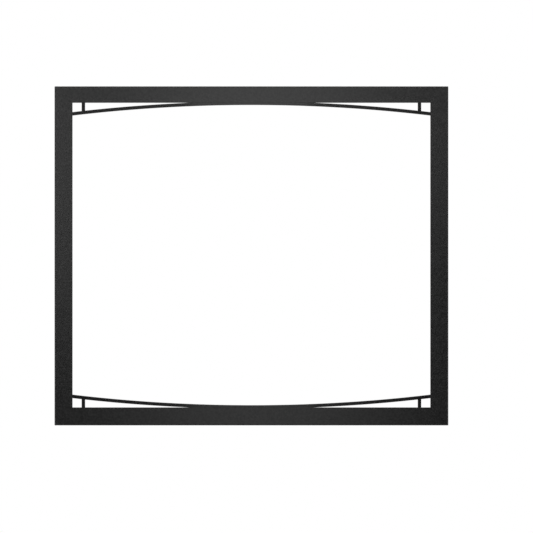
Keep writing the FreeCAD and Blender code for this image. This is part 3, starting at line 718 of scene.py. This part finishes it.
def thread(name, low, high):
    """A threaded rod along Y, sawn at two heights in millimetres."""
    root = THREAD_RADIUS - THREAD_DEPTH
    foot = low - LEAD_TURNS * PITCH
    tooth = [(root, 0), (THREAD_RADIUS, FLANK), (THREAD_RADIUS, FLANK + CREST),
             (root, 2 * FLANK + CREST), (root, PITCH)]
    rod = draw(name, [(radius, height + foot) for radius, height in tooth])
    object_mode()
    apply_modifier(rod, "SCREW", axis="Y", angle=2 * math.pi, screw_offset=PITCH * MM, steps=THREAD_STEPS,
                   render_steps=THREAD_STEPS, iterations=math.ceil((high - low) / PITCH) + SPARE_TURNS,
                   use_merge_vertices=True, merge_threshold=SAW_NEAR)
    bpy.ops.object.mode_set(mode="EDIT")
    bpy.ops.mesh.select_all(action="SELECT")
    bpy.ops.mesh.remove_doubles(threshold=SAW_NEAR)
    bpy.ops.mesh.normals_make_consistent(inside=False)
    saw((0, low * MM, 0), (0, -1, 0))
    saw((0, high * MM, 0), (0, 1, 0))
    return rod


# %% [markdown]
# ## Weld studs
# A weld stud stands on a small collar that melts onto the sheet. Its thread is trimmed by a turned
# envelope with a chamfered tip, and a turned collar with a soft fillet of weld flash is joined to its
# foot.

# %% The studs
STUD_LENGTH, TIP_CHAMFER = 12.0, 0.6
COLLAR_RADIUS, COLLAR_HEIGHT, COLLAR_EDGE = 3.25, 0.8, 0.25
FLASH_OUT, FLASH_IN, FLASH_HEIGHT = 0.15, 0.3, 0.4
SPARE, CLEARANCE = 1.0, 0.1
clear_radius = THREAD_RADIUS + CLEARANCE
flash_top = COLLAR_HEIGHT + FLASH_HEIGHT
stud = thread("stud_master", -SPARE, STUD_LENGTH + SPARE)
combine(stud, "INTERSECT", turn("stud_envelope", [
    (0, COLLAR_HEIGHT / 2), (clear_radius, COLLAR_HEIGHT / 2),
    (clear_radius, STUD_LENGTH - TIP_CHAMFER - CLEARANCE),
    (THREAD_RADIUS - TIP_CHAMFER, STUD_LENGTH), (0, STUD_LENGTH)]))
combine(stud, "UNION", turn("stud_collar", [
    (0, 0), (COLLAR_RADIUS, 0), (COLLAR_RADIUS, COLLAR_HEIGHT - COLLAR_EDGE),
    (COLLAR_RADIUS - COLLAR_EDGE, COLLAR_HEIGHT), (THREAD_RADIUS + FLASH_OUT, COLLAR_HEIGHT),
    (THREAD_RADIUS - FLASH_IN, flash_top), (0, flash_top)]))
for name in ("corner_stud", "hanger_stud", "bracket_stud"):
    place_copies(stud, name, "copper_flash", f"{name}s")
bpy.data.objects.remove(stud)

# %% [markdown]
# ## Flange nuts
# A flange nut is a hexagon on a round foot. A six-sided cylinder is trimmed by a wide cone, which
# rounds the tops of its corners, joined to a turned flange with a sloping skirt, and bored with a
# countersink at both ends. Its six upright edges are bevelled first, while they are still the only
# ones.

# %% The hexagon of a nut
NUT_FLAT, NUT_HEIGHT = 4.0, 4.7
NUT_EDGE, NUT_EDGE_SEGMENTS = 0.2, 2
CONE_SLOPE = math.tan(math.radians(60))
CONE_INSET, CONE_DROP = 0.1, 0.05


def six_sided(name, flat, height, middle):
    """A hexagonal rod along Y, with its flats and its middle given in millimetres from the origin."""
    return start(bpy.ops.mesh.primitive_cylinder_add, name, vertices=6,
                 radius=flat / math.cos(math.pi / 6) * MM, depth=height * MM,
                 location=(0, middle * MM, 0), rotation=(math.pi / 2, 0, 0))


nut = six_sided("nut_master", NUT_FLAT, NUT_HEIGHT, NUT_HEIGHT / 2)
pick("EDGE", running_along(1))
bpy.ops.mesh.bevel(offset=NUT_EDGE * MM, segments=NUT_EDGE_SEGMENTS, affect="EDGES")
cone_foot = NUT_FLAT + (NUT_HEIGHT + CLEARANCE) * CONE_SLOPE
cone_top = NUT_HEIGHT + CONE_INSET / CONE_SLOPE - CONE_DROP
combine(nut, "INTERSECT", turn("nut_cone", [
    (0, -CLEARANCE), (cone_foot, -CLEARANCE), (NUT_FLAT - CONE_INSET, cone_top), (0, cone_top)]))
print("the hexagon has", len(nut.data.polygons), "faces")

# %% The flange and the bore
FLANGE_RADIUS, FLANGE_EDGE = 5.9, 0.1
FLANGE_RIM, FLANGE_ROUND = 0.45, 0.2
SKIRT_OUT, SKIRT_TOP = 0.3, 1.3
BORE_RADIUS, BORE_SINK = 2.6, 0.4
combine(nut, "UNION", turn("nut_flange", [
    (0, 0), (FLANGE_RADIUS - FLANGE_EDGE, 0), (FLANGE_RADIUS, FLANGE_EDGE), (FLANGE_RADIUS, FLANGE_RIM),
    (FLANGE_RADIUS - FLANGE_ROUND, FLANGE_RIM + FLANGE_ROUND),
    (NUT_FLAT + SKIRT_OUT, SKIRT_TOP), (0, SKIRT_TOP)]))
bore_mouth = BORE_RADIUS + BORE_SINK + SPARE
combine(nut, "DIFFERENCE", turn("nut_bore", [
    (0, -SPARE), (bore_mouth, -SPARE), (BORE_RADIUS, BORE_SINK), (BORE_RADIUS, NUT_HEIGHT - BORE_SINK),
    (bore_mouth, NUT_HEIGHT + SPARE), (0, NUT_HEIGHT + SPARE)]))
for name in ("corner_nut", "hanger_nut", "bracket_nut"):
    place_copies(nut, name, "zinc_plate", f"{name}s")
place_copies(nut, "magnet_nut", "zinc_plate", "magnet_nuts", to_front=True)
bpy.data.objects.remove(nut)

# %% [markdown]
# ## Washers
# A washer is punched from strip, so the edges on its top side are drawn round and those below stay
# crisp. The section is a closed loop this time, because the washer has a hole. A hair of air below it
# lets the hanger slide.

# %% The washers
HOLE, OUTSIDE, THICK, SLIP = 2.75, 5.95, 1.0, 0.02
CRISP, DRAWN, HOLE_DRAWN = 0.08, 0.28, 0.2
DRAWN_IN, DRAWN_DOWN = 0.08, 0.1
washer = turn("washer_master", [
    (HOLE + CRISP, SLIP), (OUTSIDE - CRISP, SLIP), (OUTSIDE, SLIP + CRISP), (OUTSIDE, THICK - DRAWN),
    (OUTSIDE - DRAWN_IN, THICK - DRAWN_DOWN), (OUTSIDE - DRAWN, THICK), (HOLE + HOLE_DRAWN, THICK),
    (HOLE, THICK - HOLE_DRAWN), (HOLE, SLIP + CRISP), (HOLE + CRISP, SLIP)])
place_copies(washer, "hanger_washer", "zinc_plate", "hanger_washers")
bpy.data.objects.remove(washer)

# %% [markdown]
# ## Pot magnets
# The cup is drawn from sheet, with a rounded foot and a turned rim, and the ring sits in it flush with
# the rim. The ring's countersink takes the head of the screw.

# %% The cups
CUP_RADIUS, CUP_HEIGHT, CUP_WALL, CUP_FLOOR = 12.5, 6.0, 1.5, 1.6
FOOT_ROUND, FOOT_MIDDLE = 0.6, 0.18
RIM_OUTSIDE, RIM_INSIDE = 0.25, 0.2
SCREW_HOLE = 2.7
MAGNET_STEPS = 72
cup_inside = CUP_RADIUS - CUP_WALL
cup = turn("cup_master", [
    (SCREW_HOLE, 0), (CUP_RADIUS - FOOT_ROUND, 0), (CUP_RADIUS - FOOT_MIDDLE, FOOT_MIDDLE),
    (CUP_RADIUS, FOOT_ROUND), (CUP_RADIUS, CUP_HEIGHT - RIM_OUTSIDE),
    (CUP_RADIUS - RIM_OUTSIDE, CUP_HEIGHT), (cup_inside + RIM_INSIDE, CUP_HEIGHT),
    (cup_inside, CUP_HEIGHT - RIM_INSIDE), (cup_inside, CUP_FLOOR), (SCREW_HOLE, CUP_FLOOR),
    (SCREW_HOLE, 0)], steps=MAGNET_STEPS)
for side in ("left", "right"):
    place_copies(cup, f"{side}_pot_cup", "nickel_plate", f"{side}_magnet_cup", turned=False)
bpy.data.objects.remove(cup)

# %% The rings
RING_RADIUS, RING_HEIGHT, RING_EDGE = 10.9, 4.4, 0.3
SINK_RADIUS, SINK_EDGE = 5.05, 0.12
sink_foot = RING_HEIGHT - (SINK_RADIUS - SCREW_HOLE)
ring = turn("ring_master", [
    (SCREW_HOLE, 0), (RING_RADIUS, 0), (RING_RADIUS, RING_HEIGHT - RING_EDGE),
    (RING_RADIUS - RING_EDGE, RING_HEIGHT), (SINK_RADIUS + SINK_EDGE, RING_HEIGHT),
    (SINK_RADIUS - SINK_EDGE, RING_HEIGHT - SINK_EDGE), (SCREW_HOLE, sink_foot), (SCREW_HOLE, 0)],
    steps=MAGNET_STEPS)
for side in ("left", "right"):
    place_copies(ring, f"{side}_pot_ring", "ferrite", f"{side}_magnet_ring", turned=False)
bpy.data.objects.remove(ring)

# %% [markdown]
# ## Countersunk screws
# The screw that holds a magnet has a flat conical head with a hexagon socket, and a threaded shank that
# comes out of its nut on the front side. The shank is made like a stud, the head is turned, and a
# six-sided cylinder cuts the socket.

# %% The screws
SCREW_LENGTH, HEAD_RADIUS, HEAD_FLARE = 13.9, 4.7, 2.2
HEAD_RIM, HEAD_EASE = 0.12, 0.15
NECK_DEPTH, NECK_INSET = 0.4, 0.1
SOCKET_FLAT, SOCKET_DEPTH = 1.5, 1.8
shank = SCREW_LENGTH - HEAD_FLARE
screw = thread("screw_master", -SPARE, shank)
combine(screw, "INTERSECT", turn("screw_envelope", [
    (0, 0), (THREAD_RADIUS - TIP_CHAMFER, 0), (clear_radius, TIP_CHAMFER + CLEARANCE),
    (clear_radius, shank + CLEARANCE), (0, shank + CLEARANCE)]))
combine(screw, "UNION", turn("screw_head", [
    (0, shank - NECK_DEPTH), (THREAD_RADIUS - NECK_INSET, shank - NECK_DEPTH), (THREAD_RADIUS, shank),
    (HEAD_RADIUS, SCREW_LENGTH - HEAD_RIM), (HEAD_RADIUS - HEAD_EASE, SCREW_LENGTH), (0, SCREW_LENGTH)]))
combine(screw, "DIFFERENCE", six_sided("screw_socket", SOCKET_FLAT, 2 * SOCKET_DEPTH, SCREW_LENGTH))
place_copies(screw, "magnet_screw", "zinc_plate", "magnet_screws")
bpy.data.objects.remove(screw)

# %% [markdown]
# ## Camera
# The picture looks straight at the front with a long lens. The pixels between the frame's outer edges,
# where the folds end, give the scale, and with the lens that gives the distance. The camera stands a
# little right of the middle and a little below it, because the front isn't in the middle of the
# picture.

# %% The camera
PHOTO_SIDE = 533
LEFT_PX, RIGHT_PX, TOP_PX, BOTTOM_PX = 54.54, 448.33, 86.26, 425.47
LENS, SENSOR = 85, 36
metres_per_px = (outer_high.x - outer_low.x) / (RIGHT_PX - LEFT_PX)
aside = (PHOTO_SIDE - LEFT_PX - RIGHT_PX) / 2 * metres_per_px
below = (PHOTO_SIDE - TOP_PX - BOTTOM_PX) / 2 * metres_per_px
distance = PHOTO_SIDE * metres_per_px * LENS / SENSOR
middle_height = (outer_low.z + outer_high.z) / 2
bpy.ops.object.camera_add(location=(aside, FRONT + FOLD_OUTSIDE - distance, middle_height - below),
                          rotation=(math.pi / 2, 0, 0))
camera = bpy.context.object
camera.data.lens, camera.data.sensor_width = LENS, SENSOR
bpy.context.scene.camera = camera
bpy.context.scene.view_settings.view_transform = "Standard"
print("camera at", [round(value, 3) for value in camera.location])
print("scale", round(metres_per_px / MM, 3), "mm per pixel")

# %% [markdown]
# ## Floor and backdrop
# The front hangs before a white backdrop, well above a pale floor. To the camera, to reflections and
# through clear things both glow white, and the floor only in part, so that the soft shadow of the front
# stays on it. The floor starts a pace before the front, because further out it would be mirrored in the
# bottom rail.

# %% The stage
ROOM = 14.0
FLOOR_DROP, FLOOR_START = 1.4, -1.5
BACKDROP = 5.0
FLOOR_GLOW, BACKDROP_GLOW = 0.97, 1.0
PALE, MATT = grey(0.9), 0.9
WHITE = grey(1.0)


def pale_surface(name, glow):
    """A pale material that shows white, by the share that glows, to the camera and in reflections."""
    material = bpy.data.materials.new(name)
    material.use_nodes = True
    tree = material.node_tree
    pale = tree.nodes["Principled BSDF"]
    pale.inputs["Base Color"].default_value = PALE
    pale.inputs["Roughness"].default_value = MATT
    path = tree.nodes.new("ShaderNodeLightPath")
    seen, glossy, through = (Wire(tree, path.outputs[f"Is {kind} Ray"])
                             for kind in ("Camera", "Glossy", "Transmission"))
    white = seen.node("ShaderNodeEmission", {"Color": WHITE, "Strength": 1.0})
    share = glow * (seen + glossy + through).clipped(0.0, 1.0)
    mixed = seen.node("ShaderNodeMixShader", {0: share, 1: Wire(tree, pale.outputs[0]), 2: white})
    tree.links.new(mixed.socket, tree.nodes["Material Output"].inputs["Surface"])
    return material


for name, y, z, tilt, glow in (
        ("floor", FLOOR_START + ROOM / 2, -FLOOR_DROP, 0, FLOOR_GLOW),
        ("backdrop", BACKDROP, ROOM / 2 - FLOOR_DROP, math.pi / 2, BACKDROP_GLOW)):
    surface = start(bpy.ops.mesh.primitive_plane_add, name, size=ROOM,
                    location=(0, y, z), rotation=(tilt, 0, 0))
    object_mode()
    surface.data.materials.append(pale_surface(f"pale_{name}", glow))
    print(name, "is", ROOM, "m wide, middle at y =", y, "and z =", z)

# %% [markdown]
# ## Studio light
# Black satin paint is drawn by what it reflects. Two softboxes before the front, one above the other,
# put the sheen on the middle of both rails, and a narrow one on each side, the left one brighter,
# lights the stiles. The general light comes from larger boxes at the sides, above and behind, where a
# camera straight ahead doesn't see them mirrored. Two low boxes are mirrored when the front is seen
# from a corner and from above.

# %% The softboxes
def softbox(name, place, aim, width, height, brightness):
    """An aimed rectangular lamp, not seen itself, whose face has a brightness of 1 for white."""
    bpy.ops.object.light_add(type="AREA", location=place)
    lamp = bpy.context.object
    lamp.name = name
    lamp.rotation_euler = (Vector(aim) - Vector(place)).to_track_quat("-Z", "Y").to_euler()
    lamp.data.shape = "RECTANGLE"
    lamp.data.size, lamp.data.size_y = width, height
    lamp.data.energy = math.pi * width * height * brightness
    lamp.visible_camera = False
    print(name, "gives", round(lamp.data.energy, 1), "W")


SHEEN = -3.6
for name, x, z, width, height, brightness in (
        ("upper_sheen", 0, 1.2, 1.2, 1.2, 2.1), ("lower_sheen", 0, -0.3, 1.1, 1.8, 1.17),
        ("left_sheen", -1.5, 0.97, 0.6, 1.66, 2.62), ("right_sheen", 1.5, 1.23, 0.6, 1.2, 1.38)):
    softbox(name, (x, SHEEN, z), (x, 0, z), width, height, brightness)
MIDDLE = (0, 0, middle_height)
softbox("top_box", (0, -1.4, 2.6), MIDDLE, 3.0, 1.4, 2.2)
softbox("left_box", (-2.8, -1.6, 0.8), MIDDLE, 1.4, 2.4, 1.9)
softbox("right_box", (2.8, -1.6, 0.8), MIDDLE, 1.4, 2.4, 1.3)
softbox("back_box", (0, 2.4, 2.6), MIDDLE, 3.0, 1.4, 2.0)
softbox("left_wing", (-3.4, 0.7, 0.6), MIDDLE, 1.8, 2.6, 1.2)
softbox("right_wing", (3.4, 0.7, 0.6), MIDDLE, 1.8, 2.6, 1.0)
softbox("left_low_box", (-2.3, -1.9, -0.7), MIDDLE, 1.4, 1.5, 1.2)
softbox("right_low_box", (2.3, -1.9, -0.7), MIDDLE, 1.4, 1.5, 1.2)

# %% The room
DIM = 0.01
world = bpy.data.worlds.new("white_room")
bpy.context.scene.world = world
world.use_nodes = True
room_tree = world.node_tree
room = room_tree.nodes["Background"]
room_path = room_tree.nodes.new("ShaderNodeLightPath")
to_camera = Wire(room_tree, room_path.outputs["Is Camera Ray"])
room_tree.links.new((DIM + (1 - DIM) * to_camera).socket, room.inputs["Strength"])
room.inputs["Color"].default_value = WHITE
print("the room is white to the camera, and gives", DIM, "of that as light")
